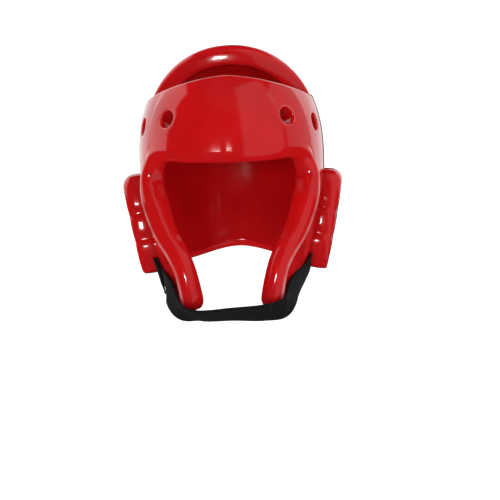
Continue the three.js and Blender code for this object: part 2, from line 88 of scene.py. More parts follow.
# Stops of the chin strap from under the right ear pad, round the cheek tips, to the left one. On the foam:
# azimuth and a share of the tip drop. Free: shares of the shell's half width and front reach at the cheek
# tips, and of the tip drop, and the way the outer face looks.
STRAP_STOPS = (
    {"azimuth": -80, "drop": 0.84},
    {"azimuth": -70, "drop": 0.875},
    {"azimuth": -61, "drop": 0.89},
    {"azimuth": -54, "drop": 0.917},
    {"place": (-0.945, 0.61, 0.985), "face": (-0.8, -0.56, -0.2)},
    {"place": (-0.795, 0.745, 1.066), "face": (-0.6, -0.62, -0.5)},
    {"place": (-0.5, 0.85, 1.096), "face": (-0.05, -0.4, -0.92)},
    {"place": (0.0, 0.865, 1.094), "face": (0.0, -0.48, -0.88)},
    {"place": (0.49, 0.86, 1.09), "face": (0.05, -0.62, -0.78)},
    {"place": (0.765, 0.785, 1.07), "face": (0.6, -0.62, -0.5)},
    {"place": (0.905, 0.61, 0.988), "face": (0.8, -0.56, -0.2)},
    {"azimuth": 54, "drop": 0.917},
    {"azimuth": 61, "drop": 0.89},
    {"azimuth": 70, "drop": 0.875},
    {"azimuth": 80, "drop": 0.84},
)

# Vents in the brow: azimuth from the front, and depth under the top as a share of the crown's height
VENTS = ((29.8, 0.676), (54.8, 0.71))

# Heights on an ear pad of the two channels across it
CHANNEL_HEIGHTS = (0.010, -0.015)

# Turns of a rounded edge, and the points over the top, the step and the side of the front guard's outer face
ARC = np.linspace(0.0, math.pi / 2, 8)
TOP_POINTS = 3
STEP_POINTS = 18
SIDE_POINTS = 32

# Round a hole: how far past its mouth faces are cut, the ring and the depth in which the mesh is smoothed,
# how often, and how far a smoothed point may be put back on the old surface
CUT_MARGIN = 0.0008
SMOOTH_RING = 0.009
SMOOTH_DEPTH = 0.006
SMOOTH_PASSES = 6
SNAP_REACH = 0.003

# Pixels across the picture that the camera's scale is given for
PICTURE_WIDTH = 500

# From the wearer's left to the right
MIRROR = Matrix.Scale(-1, 4, (1, 0, 0))


def length(name, description, default):
    """A size in metres that a user may change."""
    return FloatProperty(name=name, description=description, default=default, unit="LENGTH", precision=4)


def number(name, description, default):
    """A plain number that a user may change."""
    return FloatProperty(name=name, description=description, default=default)


def colour(name, description, default):
    """A linear colour that a user may change."""
    return FloatVectorProperty(name=name, description=description, default=default, subtype="COLOR", size=3)


class HeadForm(bpy.types.PropertyGroup):
    """The head cavity that the foam is built over"""

    half_width: length("Half width", "Half width of the head cavity at its widest level", 0.0745)
    front: length("Front", "Reach of the cavity to the front", 0.098)
    back: length("Back", "Reach of the cavity to the back", 0.098)
    height: length("Crown height", "Height of the cavity's top over its widest level", 0.09)
    section_power: number("Section squareness", "2 is an ellipse, more is squarer", 2.4)
    crown_power: number("Crown squareness", "2 is an ellipse, more is squarer", 2.2)
    side_depth: length("Side taper", "Depth at which the side walls would meet", 0.219)
    front_depth: length("Front taper", "Depth at which the front wall would reach the middle", 0.556)
    back_depth: length("Back taper", "Depth at which the back wall would reach the middle", 0.194)


class FoamSizes(bpy.types.PropertyGroup):
    """The foam walls, their edges and openings"""

    side: length("Side foam", "Foam thickness at the sides", 0.0135)
    brow: length("Brow foam", "Foam thickness at the brow", 0.017)
    top: length("Top foam", "Foam thickness at the top", 0.0195)
    proud: length("Front proud", "How far the front guard stands over the crown guard", 0.0015)
    hem_thinning: length("Hem thinning", "Less foam at the hem under the strap", 0.0035)
    face_half_width: length("Face half width", "Half width of the face opening at the eyes", 0.061)
    brow_drop: length("Brow edge drop", "Depth of the brow's lower edge under the top", 0.0995)
    tip_drop: length("Tip drop", "Depth of the cheek tips under the top", 0.219)
    brow_top_drop: length("Brow top drop", "Depth of the brow's top edge at the middle", 0.029)
    corner_drop: length("Corner drop", "Depth of the crown opening's corners", 0.04)
    corner_azimuth: number("Corner azimuth", "Degrees from the front to the crown opening's corners", 90)
    seam_azimuth: number("Seam azimuth", "Degrees from the front to the seam's lower end", 131)
    seam_drop: length("Seam drop", "Depth of the seam's lower end", 0.186)
    seam_bow: number("Seam bow", "How much the seam bows backwards", 2.2)
    nape_drop: length("Nape drop", "Depth of the hem at the nape", 0.172)
    jaw_drop: length("Jaw drop", "Depth of the hem's front end", 0.226)
    rim_ahead: length("Crown rim ahead", "How far the crown guard's rim is ahead of the top", 0.015)
    bumper_width: length("Bumper width", "Width of the cheek bumper", 0.0155)
    bumper_rise: length("Bumper rise", "Extra foam of the cheek bumper", 0.0075)
    bumper_step: length("Bumper step", "Run of the step behind the bumper", 0.0045)
    bumper_groove: length("Bumper groove", "Depth of the fine groove at the foot of the step", 0.0005)
    seam_gap: length("Seam gap", "Gap between the two guards", 0.0007)
    vent_radius: length("Vent radius", "Radius of the brow vents", 0.0078)
    vent_rounding: length("Vent rounding", "Edge radius of the brow vents", 0.0028)
    skin: colour("Vinyl red", "Colour of the dipped vinyl", (0.6, 0.0045, 0.006))


class PadSizes(bpy.types.PropertyGroup):
    """The ear pads"""

    half_depth: length("Half depth", "Half size from front to back", 0.035)
    half_height: length("Half height", "Half size from top to bottom", 0.048)
    across: length("Across", "Distance of the outer face's middle from the middle plane", 0.098)
    back: length("Back", "Distance of the middle behind the top of the head", 0.004)
    drop: length("Drop", "Depth of the middle under the top of the head", 0.1535)
    lean: number("Lean", "Degrees that the pad's foot leans inwards", 11.3)
    power: number("Squareness", "2 is an ellipse, more is squarer", 4.6)
    top_edge: length("Top edge", "Edge radius at the top", 0.009)
    low_edge: length("Low edge", "Edge radius at the foot", 0.002)
    channel: length("Channel", "Depth of the channels in the pad's rim", 0.0014)
    channel_face: length("Channel in the face", "Depth of the channels in the pad's face", 0.0004)
    channel_width: length("Channel width", "Half width of the channels", 0.0045)
    sound_radius: length("Sound hole", "Radius of the sound holes", 0.004)
    sound_rounding: length("Sound rounding", "Edge radius of the sound holes in the pad", 0.0015)
    wall_rounding: length("Wall rounding", "Edge radius of the sound holes in the wall", 0.001)
    dome: length("Dome", "How far the face's middle stands out", 0.0016)
    sound_spacing: length("Sound spacing", "Distance between the sound holes", 0.016)
    sound_height: length("Sound height", "Height of the sound holes on the pad", -0.0025)
    depth: length("Depth", "From the pad's face to its back inside the wall", 0.026)
    swell: length("Swell", "How far the pad's walls bulge between its face and the shell", 0.001)
    swell_run: length("Swell run", "Depth under the face over which the walls bulge", 0.02)


class StrapSizes(bpy.types.PropertyGroup):
    """The chin strap and its tab"""

    width: length("Width", "Width of the chin strap", 0.025)
    thickness: length("Thickness", "Thickness of the chin strap", 0.002)
    tab_width: length("Tab width", "Width of the hook-and-loop tab", 0.026)
    tab_thickness: length("Tab thickness", "Thickness of the hook-and-loop tab", 0.0016)
    clearance: length("Clearance", "Gap between the strap and the foam", 0.0005)
    tab_start: number("Tab start", "Share of the strap's way at which the tab starts", 0.025)
    tab_end: number("Tab end", "Share of the strap's way at which the tab ends", 0.235)
    webbing: colour("Webbing black", "Colour of the strap", (0.0055, 0.005, 0.006))


class StageSizes(bpy.types.PropertyGroup):
    """The camera and the paper"""

    distance: length("Camera distance", "From the middle of the head to the camera", 2.0)
    focus: length("Camera height", "Height of the camera under the top of the head", 0.18)
    azimuth: number("Camera azimuth", "Degrees to the wearer's left", 2.2)
    roll: number("Camera roll", "Degrees of roll", 1.7)
    aside: length("Camera aside", "Sideways offset of the camera", 0.0145)
    scale: length("Picture scale", "Size of a pixel at the head", 0.000975)
    floor_drop: length("Floor drop", "Depth of the floor under the top of the head", 0.62)
    paper: colour("Paper", "Colour of the studio paper", (0.9, 0.91, 0.92))


# The head cavity's surface


def section_reach(form, z):
    """Half width, front and back of the cavity's horizontal section at heights z."""
    least = 0.02
    below = np.maximum(0.0, -z - form.height)
    above = np.clip((z + form.height) / form.height, 0.0, 1.0)
    crown = (1.0 - above**form.crown_power) ** (1.0 / form.crown_power)

    def taper(depth):
        return np.maximum(least, 1.0 - (below / depth) ** form.crown_power)

    return (
        form.half_width * crown * taper(form.side_depth),
        form.front * crown * taper(form.front_depth),
        form.back * crown * taper(form.back_depth),
    )


def level(form, points):
    """1 on the cavity's surface, less inside it."""
    side, front, back = section_reach(form, np.minimum(points[:, 2], -form.height))
    reach = np.where(points[:, 1] < 0, front, back)
    power = form.section_power
    flat = np.abs(points[:, 0] / side) ** power + np.abs(points[:, 1] / reach) ** power
    above = np.maximum(0.0, points[:, 2] + form.height) / form.height
    return flat ** (form.crown_power / power) + above**form.crown_power


def cavity_centre(form):
    """The middle of the cavity at its widest level."""
    return np.array((0.0, 0.0, -form.height))


def unit(vectors):
    """Vectors of length 1."""
    return vectors / np.linalg.norm(vectors, axis=-1, keepdims=True)


def surface_along(form, directions):
    """Surface points seen from the cavity's centre along directions."""
    halvings = 40
    directions = unit(directions)
    near = np.zeros(len(directions))
    far = np.full(len(directions), 4 * form.height)
    for _ in range(halvings):
        middle = (near + far) / 2
        inside = level(form, cavity_centre(form) + directions * middle[:, None]) < 1
        near = np.where(inside, middle, near)
        far = np.where(inside, far, middle)
    return cavity_centre(form) + directions * near[:, None]


def surface_normals(form, points):
    """Outward directions of the cavity's surface at points."""
    step = 5e-5
    slopes = []
    for axis in np.eye(3) * step:
        slopes.append(level(form, points + axis) - level(form, points - axis))
    return unit(np.stack(slopes, axis=1))


def direction_at_height(form, azimuth, z):
    """Unit direction from the centre to the surface at an azimuth in degrees and a height."""
    azimuth, z = np.broadcast_arrays(np.atleast_1d(azimuth), np.atleast_1d(z))
    side, front, back = section_reach(form, z)
    turn = np.radians(azimuth)
    across, behind = np.sin(turn), -np.cos(turn)
    reach = np.where(behind < 0, front, back)
    power = form.section_power
    radius = (np.abs(across / side) ** power + np.abs(behind / reach) ** power) ** (-1 / power)
    points = np.stack((across * radius, behind * radius, z), axis=1)
    return unit(points - cavity_centre(form))


def direction_on_front(form, across, z):
    """Unit direction from the centre to the front surface at a distance across and a height."""
    side, front, _ = section_reach(form, np.atleast_1d(z))
    share = min(1.0, abs(across) / side[0])
    y = -front[0] * (1 - share**form.section_power) ** (1 / form.section_power)
    return unit(np.array(((across, y, z),)) - cavity_centre(form))


def foam_depth(foam, directions):
    """Foam thickness by direction: thicker to the front and to the top."""
    up = np.maximum(0.0, directions[:, 2]) ** 2
    ahead = np.maximum(0.0, -directions[:, 1]) ** 2
    return foam.side + (foam.top - foam.side) * up + (foam.brow - foam.side) * ahead


def smooth_step(x, start, end):
    """0 before start, 1 past end and a soft rise between."""
    share = np.clip((x - start) / (end - start), 0.0, 1.0)
    return share * share * (3 - 2 * share)


def panel_depth(foam, directions):
    """Thickness of the front guard behind its bumper, thinner towards the hem."""
    thinning_start, thinning_full = 0.3, 0.75
    low = smooth_step(-directions[:, 2], thinning_start, thinning_full)
    return foam_depth(foam, directions) + foam.proud - foam.hem_thinning * low


# Lines on the surface and the station table


class SurfaceLine:
    """A line on the cavity's surface given by directions for shares 0 to 1."""

    def __init__(self, form, directions_at):
        self.form = form
        self.directions_at = directions_at
        samples = 61
        self.shares = np.linspace(0.0, 1.0, samples)
        points = surface_along(form, directions_at(self.shares))
        steps = np.linalg.norm(np.diff(points, axis=0), axis=1)
        self.lengths = np.concatenate(((0.0,), np.cumsum(steps)))
        self.length = self.lengths[-1]

    def at(self, distances):
        """Points, normals and directions at distances along the line, also a little past its ends."""
        shares = np.interp(distances, self.lengths, self.shares)
        first = self.shares[1] / self.lengths[1]
        last = (1 - self.shares[-2]) / (self.length - self.lengths[-2])
        shares = np.where(distances < 0, distances * first, shares)
        shares = np.where(distances > self.length, 1 + (distances - self.length) * last, shares)
        directions = unit(self.directions_at(shares))
        points = surface_along(self.form, directions)
        return points, surface_normals(self.form, points), directions


def between(start, end):
    """Directions between two directions."""
    return lambda shares: start * (1 - shares[:, None]) + end * shares[:, None]


def station_value(pick, t, odd=False):
    """A value of the station table at position t, where a negative t is the wearer's right side."""
    place = abs(t)
    low = min(len(STATIONS) - 2, int(place))

    def at(i):
        if i < 0:
            return (-1 if odd else 1) * pick(-i)
        if i < len(STATIONS):
            return pick(i)
        return 2 * pick(i - 1) - pick(i - 2)

    s = place - low
    a, b, c, d = at(low - 1), at(low), at(low + 1), at(low + 2)
    bend = 2 * a - 5 * b + 4 * c - d + (3 * b - a - 3 * c + d) * s
    value = b + 0.5 * s * (c - a + s * bend)
    return -value if odd and t < 0 else value


def column(name):
    """Picks a column of the station table."""
    return lambda i: STATIONS[i][name]


def seam_azimuth(foam, share):
    """Degrees from the front at a share of the seam."""
    swing = foam.seam_azimuth - foam.corner_azimuth
    return foam.seam_azimuth - swing * np.maximum(0.0, 1 - share) ** foam.seam_bow


def seam_drop(foam, share):
    """Depth at a share of the seam."""
    return foam.corner_drop + (foam.seam_drop - foam.corner_drop) * share


def rear_azimuth(foam, i):
    """Degrees from the front to the rear end of station i."""
    row = STATIONS[i]
    return row["azimuth"] if row["seam"] is None else float(seam_azimuth(foam, row["seam"]))


def rear_drop(foam, i):
    """Depth of the rear end of station i."""
    row = STATIONS[i]
    if row["seam"] is not None:
        return float(seam_drop(foam, row["seam"]))
    start, end = (
        (foam.brow_top_drop, foam.corner_drop) if i < CORNER_STATION else (foam.seam_drop, foam.jaw_drop)
    )
    return start + (end - start) * row["rear"]


def seam_share(i):
    """Share of the seam at station i, carried on a little past both ends."""
    before, after = -0.2, 1.3
    row = STATIONS[i]
    if row["seam"] is not None:
        return row["seam"]
    return before if i < CORNER_STATION else after


def station_line(form, foam, t):
    """The line that station t's section follows, from the face edge to the rear edge."""
    across = foam.face_half_width * station_value(column("across"), t, odd=True)
    down = station_value(column("down"), t)
    z = -(foam.brow_drop + (foam.tip_drop - foam.brow_drop) * down)
    start = direction_on_front(form, across, z)
    if CORNER_STATION < abs(t) < SEAM_END_STATION:
        share = station_value(seam_share, abs(t))
        azimuth = math.copysign(float(seam_azimuth(foam, share)), t)
        drop = float(seam_drop(foam, share))
    else:
        azimuth = station_value(lambda i: rear_azimuth(foam, i), t, odd=True)
        drop = station_value(lambda i: rear_drop(foam, i), t)
    end = direction_at_height(form, azimuth, -drop)
    return SurfaceLine(form, between(start, end))


# Wall sections


def wall_section(line, outer, radii, panel, inset):
    """The closed section of a foam wall along a line, as points. outer gives the wall's thickness at
    distances and directions, radii are the inner and outer ones at the start and at the end, panel is the
    function that spreads the outer side's points, and inset shrinks the whole section."""
    least_radius, inner_points = 0.0003, 34
    start_inner, start_outer, end_inner, end_outer = (max(r - inset, least_radius) for r in radii)
    first, last = inset, line.length - inset
    distances, offsets, bases = [], [], []

    def add(distance, drop, base):
        distances.append(distance)
        offsets.append(drop)
        bases.append(base if np.ndim(base) else np.full(np.shape(drop), base))

    # Outer corner at the start, outer side, outer corner at the end. Offsets go down from the full thickness
    turn = ARC[::-1]
    add(first + start_outer * (1 - np.sin(turn)), start_outer * (1 - np.cos(turn)), first + start_outer)
    side = panel(first + start_outer, last - end_outer)
    add(side, np.zeros(len(side)), side)
    turn = ARC
    add(last - end_outer * (1 - np.sin(turn)), end_outer * (1 - np.cos(turn)), last - end_outer)
    outer_distances = np.concatenate(distances)
    points, normals, directions = line.at(outer_distances)
    base_distances = np.concatenate(bases)
    _, _, base_directions = line.at(base_distances)
    height = outer(base_distances, base_directions) - inset - np.concatenate(offsets)
    outside = points + normals * height[:, None]

    # Inner corner at the end, inner side and inner corner at the start
    turn = ARC[::-1]
    end_distances = last - end_inner * (1 - np.sin(turn))
    end_heights = inset + end_inner * (1 - np.cos(turn))
    side = np.linspace(last - end_inner, first + start_inner, inner_points)[1:-1]
    start_distances = first + start_inner * (1 - np.sin(ARC))
    start_heights = inset + start_inner * (1 - np.cos(ARC))
    inner_distances = np.concatenate((end_distances, side, start_distances))
    inner_heights = np.concatenate((end_heights, np.full(len(side), inset), start_heights))
    points, normals, _ = line.at(inner_distances)
    inside = points + normals * inner_heights[:, None]
    return np.concatenate((outside, inside))


# Meshes


def mapped_tube(places, highlight_marks=None):
    """A bmesh grid bent to places, an array of loops of points, with each loop closed on itself. The
    highlight marks give how strong the painted edge highlight is at each place, from 0 to 1."""
    rows, columns = places.shape[:2]
    bm = bmesh.new()
    # A layer for the painted highlight along edges, a pale line standing in for their reflection
    highlight_layer = bm.verts.layers.float.new("edge_highlight_paint")
    bmesh.ops.create_grid(bm, x_segments=columns, y_segments=rows - 1, size=0.5)
    for vert in bm.verts:
        i = round((vert.co.x + 0.5) * columns) % columns
        j = round((vert.co.y + 0.5) * (rows - 1))
        vert.co = places[j, i]
        vert[highlight_layer] = 0.0 if highlight_marks is None else highlight_marks[j, i]
    bmesh.ops.remove_doubles(bm, verts=bm.verts, dist=1e-7)
    return bm


def close_ends(bm):
    """Fills the open ends of a tube."""
    bmesh.ops.holes_fill(bm, edges=[edge for edge in bm.edges if edge.is_boundary], sides=0)
    bmesh.ops.recalc_face_normals(bm, faces=bm.faces)


def edge_loops(edges):
    """Splits boundary edges into closed loops of verts, in the same order each run."""
    left = dict.fromkeys(edges)
    loops = []
    while left:
        edge = next(iter(left))
        del left[edge]
        loop = [edge.verts[0], edge.verts[1]]
        while True:
            found = next((e for e in loop[-1].link_edges if e in left), None)
            if found is None:
                break
            del left[found]
            loop.append(found.other_vert(loop[-1]))
        loops.append(loop[:-1] if loop[0] is loop[-1] else loop)
    return loops


def punch_hole(bm, centre, axis, radius, rounding, reach=0.03):
    """A round hole with soft rims through the wall at centre along axis, a painted highlight at each mouth.
    """
    highlight_ring, highlight_share = 1, 0.7
    axis = axis.normalized()
    tree = BVHTree.FromBMesh(bm)
    highlight_layer = bm.verts.layers.float.get("edge_highlight_paint")
    mouth = radius + rounding

    def parts(point):
        along = (point - centre).dot(axis)
        return along, point - centre - axis * along

    doomed = []
    for face in bm.faces:
        along, aside = parts(face.calc_center_median())
        if abs(along) < reach and aside.length < mouth + CUT_MARGIN:
            doomed.append(face)
    bmesh.ops.delete(bm, geom=doomed, context="FACES")
    loops = edge_loops([edge for edge in bm.edges if edge.is_boundary])
    loops = sorted(loops, key=lambda loop: sum(parts(v.co)[0] for v in loop) / len(loop))[-2:]
    east = axis.orthogonal().normalized()
    north = axis.cross(east)
    rings = []
    for loop, side in zip(loops, (-1, 1)):
        out = axis * side
        angles = np.unwrap([math.atan2(parts(v.co)[1].dot(north), parts(v.co)[1].dot(east)) for v in loop])
        way = 1 if angles[-1] > angles[0] else -1
        even = way * 2 * math.pi * np.arange(len(loop)) / len(loop)
        start = float(np.mean(angles - even))
        for vert, turn in zip(loop, even + start):
            aim = centre + (east * math.cos(turn) + north * math.sin(turn)) * mouth
            hit = tree.ray_cast(aim + out * reach, -out, 2 * reach)[0]
            vert.co = hit if hit is not None else vert.co
        rim = set(loop)
        middle = sum(parts(v.co)[0] for v in loop) / len(loop)
        around = []
        for vert in bm.verts:
            along, aside = parts(vert.co)
            is_near = aside.length < mouth + SMOOTH_RING and abs(along - middle) < SMOOTH_DEPTH
            if is_near and vert not in rim:
                around.append(vert)
        for _ in range(SMOOTH_PASSES):
            bmesh.ops.smooth_vert(
                bm, verts=around, factor=0.5, use_axis_x=True, use_axis_y=True, use_axis_z=True
            )
        for vert in around:
            _, aside = parts(vert.co)
            hit = tree.ray_cast(centre + aside + out * reach, -out, 2 * reach)[0]
            if hit is not None and (hit - vert.co).length < SNAP_REACH:
                vert.co = hit
        edges = [e for v in loop for e in v.link_edges if e.is_boundary]
        edges = list(dict.fromkeys(edges))
        sunk = 0.0
        for ring, turn in enumerate(ARC[1:]):
            new = bmesh.ops.extrude_edge_only(bm, edges=edges)["geom"]
            edges = [item for item in new if isinstance(item, bmesh.types.BMEdge)]
            drop = rounding * (1 - math.cos(turn))
            for vert in (item for item in new if isinstance(item, bmesh.types.BMVert)):
                along, aside = parts(vert.co)
                wide = radius + rounding * (1 - math.sin(turn))
                vert.co = centre + aside.normalized() * wide + axis * (along + side * (sunk - drop))
                # One ring of each mouth gets the painted highlight, a pale line standing in for a reflection
                if highlight_layer is not None:
                    vert[highlight_layer] = highlight_share if ring == highlight_ring else 0.0
            sunk = drop
            edges = [edge for edge in edges if edge.is_boundary]
        rings.extend(edges)
    bmesh.ops.bridge_loops(bm, edges=rings)
    bmesh.ops.recalc_face_normals(bm, faces=bm.faces)


def linked_object(name, data):
    """A new object in the scene."""
    made = bpy.data.objects.new(name, data)
    bpy.context.scene.collection.objects.link(made)
    return made


def smooth_object(name, bm, material):
    """A smooth object from a bmesh, with one material."""
    mesh = bpy.data.meshes.new(name)
    bm.to_mesh(mesh)
    bm.free()
    mesh.polygons.foreach_set("use_smooth", (True,) * len(mesh.polygons))
    mesh.materials.append(material)
    return linked_object(name, mesh)


def finished_piece(name, bm, nodes, material):
    """A smooth object from a bmesh, riding on the root and standing for CAD nodes."""
    piece = smooth_object(name, bm, material)
    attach(piece, "root")
    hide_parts(*nodes)
    return piece


# Guards


def front_depth(foam, t, distances, directions):
    """Thickness of the front guard at distances from the face edge of station t."""
    rim = foam.bumper_width * station_value(column("rim"), t)
    rise = foam.bumper_rise * station_value(column("rise"), t)
    step = smooth_step(distances, rim, rim + foam.bumper_step)
    full = foam_depth(foam, directions) + foam.proud + rise
    depth = full * (1 - step) + panel_depth(foam, directions) * step
    # A shallow mould crease up the middle of the brow's lower edge
    crease_half_width, crease_depth, crease_start, crease_end = 0.075, 0.0007, 0.010, 0.024
    fade = 1 - smooth_step(distances, crease_start, crease_end)
    crease = math.exp(-((t / crease_half_width) ** 2)) * fade
    groove_half_width = 0.0014
    foot = rim + foam.bumper_step
    groove = foam.bumper_groove * np.exp(-(((distances - foot) / groove_half_width) ** 2))
    return depth - crease_depth * crease - groove * station_value(column("rise"), t)


def front_panel(foam, t):
    """Spreads the points of the front guard's outer side, dense over the bumper's step."""
    rim = foam.bumper_width * station_value(column("rim"), t)
    least_top, ahead, past, least_side = 0.0005, 0.002, 0.003, 0.004

    def spread(start, end):
        low = max(start + least_top, rim - ahead)
        high = min(low + foam.bumper_step + past, end - least_side)
        return np.concatenate(
            (
                np.linspace(start, low, TOP_POINTS + 2)[1:-1],
                np.linspace(low, high, STEP_POINTS),
                np.linspace(high, end, SIDE_POINTS + 2)[1:-1],
            )
        )

    return spread


def painted_edge_highlights(count, rise):
    """Painted highlight on a section of the front guard: at the bumper's rim and the rear outer edge."""
    rim_highlight, rear_highlight = 0.9, 0.85
    past_rim, rear_rings = 3, 2
    highlight_marks = np.zeros(count)
    rim = len(ARC) + TOP_POINTS
    rear = rim + STEP_POINTS + SIDE_POINTS
    highlight_marks[len(ARC) - 1 : rim + past_rim] = rim_highlight * min(1.0, 2 * rise)
    highlight_marks[rear + 1 : rear + 1 + rear_rings] = rear_highlight
    return highlight_marks


def front_guard_mesh(form, foam):
    """The front guard: wall sections from one cheek's tip round the brow to the other cheek's."""
    last = len(STATIONS) - 1
    per_station, least_step = 8, 0.02
    inner, outer, rear = 0.0045, 0.0105, 0.0024
    tip_radius, tip_reach, tip_flatness = 0.0078, 0.007, 0.92
    probe = np.array((0.012,))
    stretch = 0.5
    near, far = (station_line(form, foam, t).at(probe)[0][0] for t in (last - stretch, last))
    pitch = np.linalg.norm(far - near) / stretch
    end = last + (tip_reach - tip_radius) / pitch
    places = [(k / per_station, 0.0) for k in range(0, last * per_station + 1)]
    places = [(t, inset) for t, inset in places if t < end - least_step]
    for turn in ARC:
        inset = tip_radius * (1 - math.cos(turn)) * tip_flatness
        places.append((end + tip_radius * math.sin(turn) / pitch, inset))
    both = [(-t, inset) for t, inset in reversed(places[1:])] + places
    sections, highlight_marks = [], []
    for t, inset in both:
        line = station_line(form, foam, t)
        depth = partial(front_depth, foam, t)
        sections.append(
            wall_section(line, depth, (inner, outer, rear, rear), front_panel(foam, t), inset)
        )
        # Each section's painted edge highlight, stronger where the bumper rises
        highlight_marks.append(painted_edge_highlights(len(sections[-1]), min(1.0, station_value(column("rise"), t))))
    return mapped_tube(np.stack(sections), np.stack(highlight_marks))


def crown_directions(form, foam, u, aside):
    """Directions of the crown guard at u from -1 to 1 across, for shares from rim to nape. aside is how far
    the seam edge is set back."""
    rim = np.array((0.0, -foam.rim_ahead, form.height))
    nape = direction_at_height(form, 180, -foam.nape_drop)[0]
    rim_turn = math.atan2(rim[2], -rim[1])
    nape_turn = math.atan2(nape[2], -nape[1]) + 2 * math.pi

    def at(shares):
        azimuth = seam_azimuth(foam, shares) + math.degrees(aside / form.half_width)
        seam = direction_at_height(form, azimuth, -seam_drop(foam, shares))
        turn = rim_turn + (nape_turn - rim_turn) * shares
        keep = 1 - u * u
        return np.stack(
            (
                u * seam[:, 0],
                -keep * np.cos(turn) + u * u * seam[:, 1],
                keep * np.sin(turn) + u * u * seam[:, 2],
            ),
            axis=1,
        )

    return at


def crown_guard_mesh(form, foam):
    """The crown guard: wall sections from the rim over the top to the nape, side by side across the head."""
    rim_inner, rim_outer, nape = 0.003, 0.0095, 0.0045
    edge = 0.0022
    across, along = 73, 60

    def depth(_, directions):
        return foam_depth(foam, directions)

    def even(start, end):
        return np.linspace(start, end, along)[1:-1]

    places = [(u, foam.seam_gap + edge, 0.0) for u in np.linspace(0.0, 1.0, across)]
    for turn in ARC[1:]:
        places.append((1.0, foam.seam_gap + edge * (1 - math.sin(turn)), edge * (1 - math.cos(turn))))
    both = [(-u, aside, inset) for u, aside, inset in reversed(places[1:])] + places
    sections = []
    for u, aside, inset in both:
        line = SurfaceLine(form, crown_directions(form, foam, u, aside))
        sections.append(wall_section(line, depth, (rim_inner, rim_outer, nape, nape), even, inset))
    return mapped_tube(np.stack(sections))


# Ear pads


def pad_point(pad, back, up, out):
    """A pad's own place (back, up, out of its outer face) in the frame, on the wearer's left."""
    lean = math.radians(pad.lean)
    return Vector(
        (
            pad.across + up * math.sin(lean) + out * math.cos(lean),
            pad.back + back,
            -pad.drop + up * math.cos(lean) - out * math.sin(lean),
        )
    )


def pad_channel(pad, up):
    """How deep the channels cut at a height on the pad, from 0 to 1."""
    return sum(math.exp(-(((up - height) / pad.channel_width) ** 2)) for height in CHANNEL_HEIGHTS)


def pad_outline(pad, turn):
    """Reach of the pad's outline from its middle at a turn, and its edge radius there."""
    c, s = abs(math.cos(turn)), abs(math.sin(turn))
    reach = ((c / pad.half_depth) ** pad.power + (s / pad.half_height) ** pad.power) ** (-1 / pad.power)
    share = 0.5 + reach * math.sin(turn) / (2 * pad.half_height)
    return reach, pad.low_edge + (pad.top_edge - pad.low_edge) * share


def pad_vertex(pad, turn, part, drop):
    """A place on the pad: part is its share of the outline's reach and drop its depth under the face."""
    radius, edge = pad_outline(pad, turn)
    rim_power, side_gain = 8, 3
    swell = pad.swell * math.sin(math.pi * min(1.0, drop / pad.swell_run)) * part**rim_power
    reach = radius * part + swell
    up = reach * math.sin(turn)
    channel = pad_channel(pad, up)
    groove = pad.channel * channel * min(1.0, abs(side_gain * math.cos(turn))) * part**rim_power
    back = reach * math.cos(turn) - math.copysign(groove, math.cos(turn))
    on_face = drop <= edge
    dome = pad.dome * (1 - part * part) if on_face else 0.0
    return pad_point(pad, back, up, dome - drop - pad.channel_face * channel * on_face)


def ear_pad_mesh(pad):
    """A lobed pad: a square grid whose rings become face, rounded edge and walls, and one for the back."""
    face_rings, edge_rings, wall_rings = 28, 9, 9
    rings = face_rings + edge_rings + wall_rings
    bm = bmesh.new()
    for is_back in (False, True):
        grid = bmesh.ops.create_grid(bm, x_segments=2 * rings, y_segments=2 * rings, size=1.0)
        for vert in grid["verts"]:
            a, b = vert.co.x, vert.co.y
            ring = round(max(abs(a), abs(b)) * rings)
            turn = math.atan2(b * pad.half_height, a * pad.half_depth) if ring else 0.0
            radius, edge = pad_outline(pad, turn)
            flat = radius - edge
            if is_back:
                part, drop = ring / rings, pad.depth
            elif ring <= face_rings:
                part, drop = flat / radius * ring / face_rings, 0.0
            elif ring <= face_rings + edge_rings:
                arc = math.pi / 2 * (ring - face_rings) / edge_rings
                part, drop = (flat + edge * math.sin(arc)) / radius, edge * (1 - math.cos(arc))
            else:
                down = (ring - face_rings - edge_rings) / wall_rings
                part, drop = 1.0, edge + (pad.depth - edge) * down
            vert.co = pad_vertex(pad, turn, part, drop)
    bmesh.ops.remove_doubles(bm, verts=bm.verts, dist=1e-6)
    bmesh.ops.recalc_face_normals(bm, faces=bm.faces)
    return bm


def sound_holes(pad):
    """Places on the pad's face and the common way out of the sound holes, on the wearer's left."""
    out = pad_point(pad, 0, 0, 1) - pad_point(pad, 0, 0, 0)
    return [pad_point(pad, i * pad.sound_spacing, pad.sound_height, 0) for i in (-1, 0, 1)], out


def wall_behind(form, foam, place, out):
    """The middle of the foam wall on the line through place."""
    near, far, halvings = 0.005, 0.05, 30
    for _ in range(halvings):
        middle = (near + far) / 2
        inside = level(form, np.array((place - out * middle,)))[0] < 1
        near, far = (near, middle) if inside else (middle, far)
    return place - out * (near - foam.side / 2)


# Strap


def centripetal(points, shares):
    """Points on a centripetal Catmull-Rom curve through points, at shares of its count of spans."""
    points = np.array(points)
    spans = len(points) - 1
    padded = np.concatenate(((2 * points[0] - points[1],), points, (2 * points[-1] - points[-2],)))
    found = []
    for share in shares:
        place = share * spans
        low = min(spans - 1, int(place))
        s = place - low
        p0, p1, p2, p3 = padded[low : low + 4]
        d0, d1, d2 = (max(1e-6, np.linalg.norm(b - a)) ** 0.5 for a, b in ((p0, p1), (p1, p2), (p2, p3)))
        start = ((p1 - p0) / d0 - (p2 - p0) / (d0 + d1) + (p2 - p1) / d1) * d1
        end = ((p2 - p1) / d1 - (p3 - p1) / (d1 + d2) + (p3 - p2) / d2) * d1
        found.append(
            p1 + start * s + (3 * (p2 - p1) - 2 * start - end) * s**2 + (2 * (p1 - p2) + start + end) * s**3
        )
    return np.array(found)


